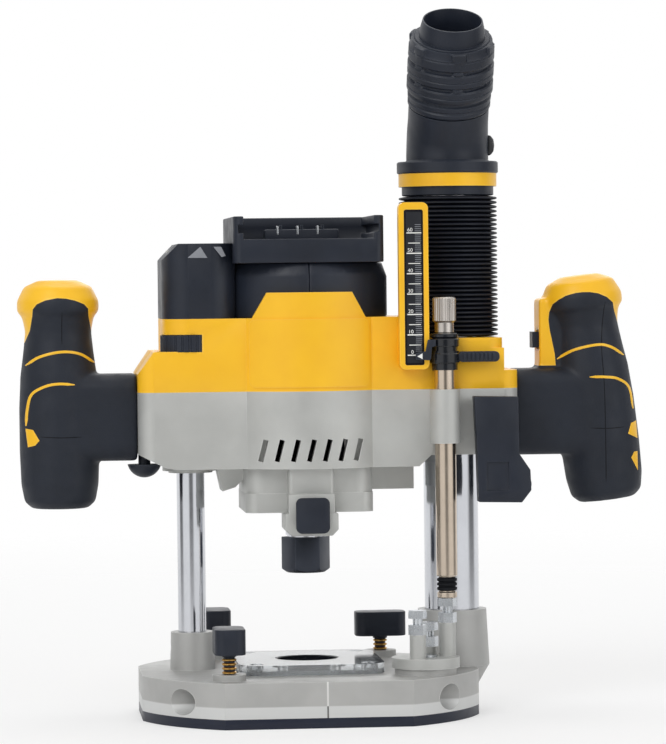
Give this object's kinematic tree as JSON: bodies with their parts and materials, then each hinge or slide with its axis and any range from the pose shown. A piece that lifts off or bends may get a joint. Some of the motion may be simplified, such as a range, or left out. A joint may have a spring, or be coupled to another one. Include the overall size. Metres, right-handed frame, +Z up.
{
  "type": "plunge router",
  "caption": "Cordless plunge router with two guide columns, sprung motor carriage, depth stop turret, dust spout and two side handles.",
  "frame": {"origin": "centre of the round opening in the sole, on the sole's underside", "axes": "+Z up along the spindle, +X to the operator's right, the label side faces -Y"},
  "size_m": [0.3125, 0.148, 0.3511],
  "materials": {
    "sole": "satin moulded sheet",
    "cast": "bead-blasted casting",
    "clear": "clear polycarbonate",
    "steel": "ground and polished",
    "zinc": "zinc plated",
    "brass": "turned",
    "nickel": "satin nickel",
    "black": "fine moulded texture",
    "yellow": "moulded",
    "bellows": "folded",
    "copper": "varnished winding",
    "board": "potted board",
    "lamp": "clear lens",
    "white": "moulded"
  },
  "bodies": {
    "base": {"sole_plate": "sole", "base_screws": "zinc", "base_casting": "cast", "base_front_rail": "cast", "base_rear_rail": "cast", "chip_shield": "clear", "left_column": "steel", "dust_column": "steel", "plunge_spring": "zinc", "bellows": "bellows", "dust_spout": "black", "spout_ring": "yellow", "clamp_springs": "brass", "turret_pivot": "zinc"},
    "motor": {"lower_housing": "cast", "front_cover": "yellow", "rear_cover": "yellow", "label_plate": "yellow", "bearing_flange": "cast", "housing_screws": "zinc", "lock_guard": "cast", "work_lights": "lamp", "guide_tube": "cast", "column_bushes": "brass", "top_shell_left": "black", "top_shell_right": "black", "battery_mount": "black", "battery_contacts": "brass", "control_pod": "black", "electronics": "board", "stator": "copper", "bearings": "steel", "bearing_bridge": "cast", "boom_plug": "black", "depth_scale": "yellow", "left_handle": "black", "right_handle": "black"},
    "spindle": {"spindle": "steel", "rotor": "steel", "fan": "black", "collet": "steel"},
    "collet_nut": {"collet_nut": "nickel"},
    "turret": {"turret_disc": "cast", "stop_nuts": "zinc"},
    "stop_screw_high": {"stop_screw_high": "zinc"},
    "stop_screw_middle": {"stop_screw_middle": "zinc"},
    "stop_screw_low": {"stop_screw_low": "zinc"},
    "clamp_front": {"clamp_knob_front": "black"},
    "clamp_rear_left": {"clamp_knob_rear_left": "black"},
    "clamp_rear_right": {"clamp_knob_rear_right": "black"},
    "spout_collar": {"spout_collar": "black"},
    "speed_dial": {"speed_dial": "black"},
    "spindle_lock": {"spindle_lock": "black"},
    "plunge_lever": {"plunge_lever": "black"},
    "depth_rod": {"depth_rod": "nickel"},
    "adjust_knob": {"adjust_knob": "nickel"},
    "depth_pointer": {"depth_pointer": "white"},
    "rod_clamp": {"rod_clamp": "black"},
    "trigger": {"trigger": "black"},
    "lock_off_button": {"lock_off_button": "black"}
  },
  "joints": [
    {"name": "plunge", "type": "slide", "parent": "base", "child": "motor", "axis": [0, 0, 1], "range_m": [-0.055, 0], "stiffness_N_per_m": 500, "springref_m": 0.12, "deforming": ["plunge_spring", "bellows"]},
    {"name": "spindle_spin", "type": "hinge", "parent": "motor", "child": "spindle", "pos_m": [0, 0, 0.1], "axis": [0, 0, 1], "continuous": true},
    {"name": "collet_nut_turn", "type": "hinge", "parent": "spindle", "child": "collet_nut", "pos_m": [0, 0, 0.08], "axis": [0, 0, 1], "continuous": true},
    {"name": "turret_turn", "type": "hinge", "parent": "base", "child": "turret", "pos_m": [0.0552, -0.04203, 0.03], "axis": [0, 0, 1], "continuous": true},
    {"name": "stop_high_turn", "type": "hinge", "parent": "turret", "child": "stop_screw_high", "pos_m": [0.0665, -0.039, 0.05], "axis": [0, 0, 1], "continuous": true},
    {"name": "stop_middle_turn", "type": "hinge", "parent": "turret", "child": "stop_screw_middle", "pos_m": [0.05025, -0.05263, 0.05], "axis": [0, 0, 1], "continuous": true},
    {"name": "stop_low_turn", "type": "hinge", "parent": "turret", "child": "stop_screw_low", "pos_m": [0.05823, -0.03073, 0.05], "axis": [0, 0, 1], "continuous": true},
    {"name": "clamp_front_turn", "type": "hinge", "parent": "base", "child": "clamp_front", "pos_m": [-0.0425, -0.057, 0.03], "axis": [0, 0, 1], "continuous": true},
    {"name": "clamp_rear_left_turn", "type": "hinge", "parent": "base", "child": "clamp_rear_left", "pos_m": [-0.0425, 0.057, 0.03], "axis": [0, 0, 1], "continuous": true},
    {"name": "clamp_rear_right_turn", "type": "hinge", "parent": "base", "child": "clamp_rear_right", "pos_m": [0.0425, 0.057, 0.03], "axis": [0, 0, 1], "continuous": true},
    {"name": "spout_collar_twist", "type": "hinge", "parent": "base", "child": "spout_collar", "pos_m": [0.074, 0.005, 0.285], "axis": [0, -0.454, 0.891], "range_deg": [0, 40]},
    {"name": "speed_dial_turn", "type": "hinge", "parent": "motor", "child": "speed_dial", "pos_m": [-0.0585, -0.021, 0.186], "axis": [0, 0, 1], "range_deg": [-135, 135]},
    {"name": "spindle_lock_press", "type": "slide", "parent": "motor", "child": "spindle_lock", "axis": [0, 1, 0], "range_m": [0, 0.004], "stiffness_N_per_m": 300, "springref_m": -0.005},
    {"name": "plunge_lock_turn", "type": "hinge", "parent": "motor", "child": "plunge_lever", "pos_m": [0.091, -0.04, 0.146], "axis": [0, -1, 0], "range_deg": [0, 30]},
    {"name": "depth_rod_slide", "type": "slide", "parent": "motor", "child": "depth_rod", "axis": [0, 0, 1], "range_m": [0, 0.055]},
    {"name": "adjust_knob_turn", "type": "hinge", "parent": "depth_rod", "child": "adjust_knob", "pos_m": [0.0665, -0.039, 0.2], "axis": [0, 0, 1], "continuous": true},
    {"name": "pointer_slide", "type": "slide", "parent": "depth_rod", "child": "depth_pointer", "axis": [0, 0, 1], "range_m": [-0.0015, 0.002]},
    {"name": "rod_clamp_turn", "type": "hinge", "parent": "motor", "child": "rod_clamp", "pos_m": [0.0665, -0.039, 0.178], "axis": [0, 0, 1], "range_deg": [-35, 0]},
    {"name": "trigger_pull", "type": "slide", "parent": "motor", "child": "trigger", "axis": [0, -1, 0], "range_m": [0, 0.005], "stiffness_N_per_m": 500, "springref_m": -0.004},
    {"name": "lock_off_press", "type": "slide", "parent": "motor", "child": "lock_off_button", "axis": [1, 0, 0], "range_m": [0, 0.003], "stiffness_N_per_m": 300, "springref_m": -0.004}
  ],
  "couplings": [
    {"joint": "depth_rod_slide", "follows": "plunge", "ratio": -1}
  ]
}
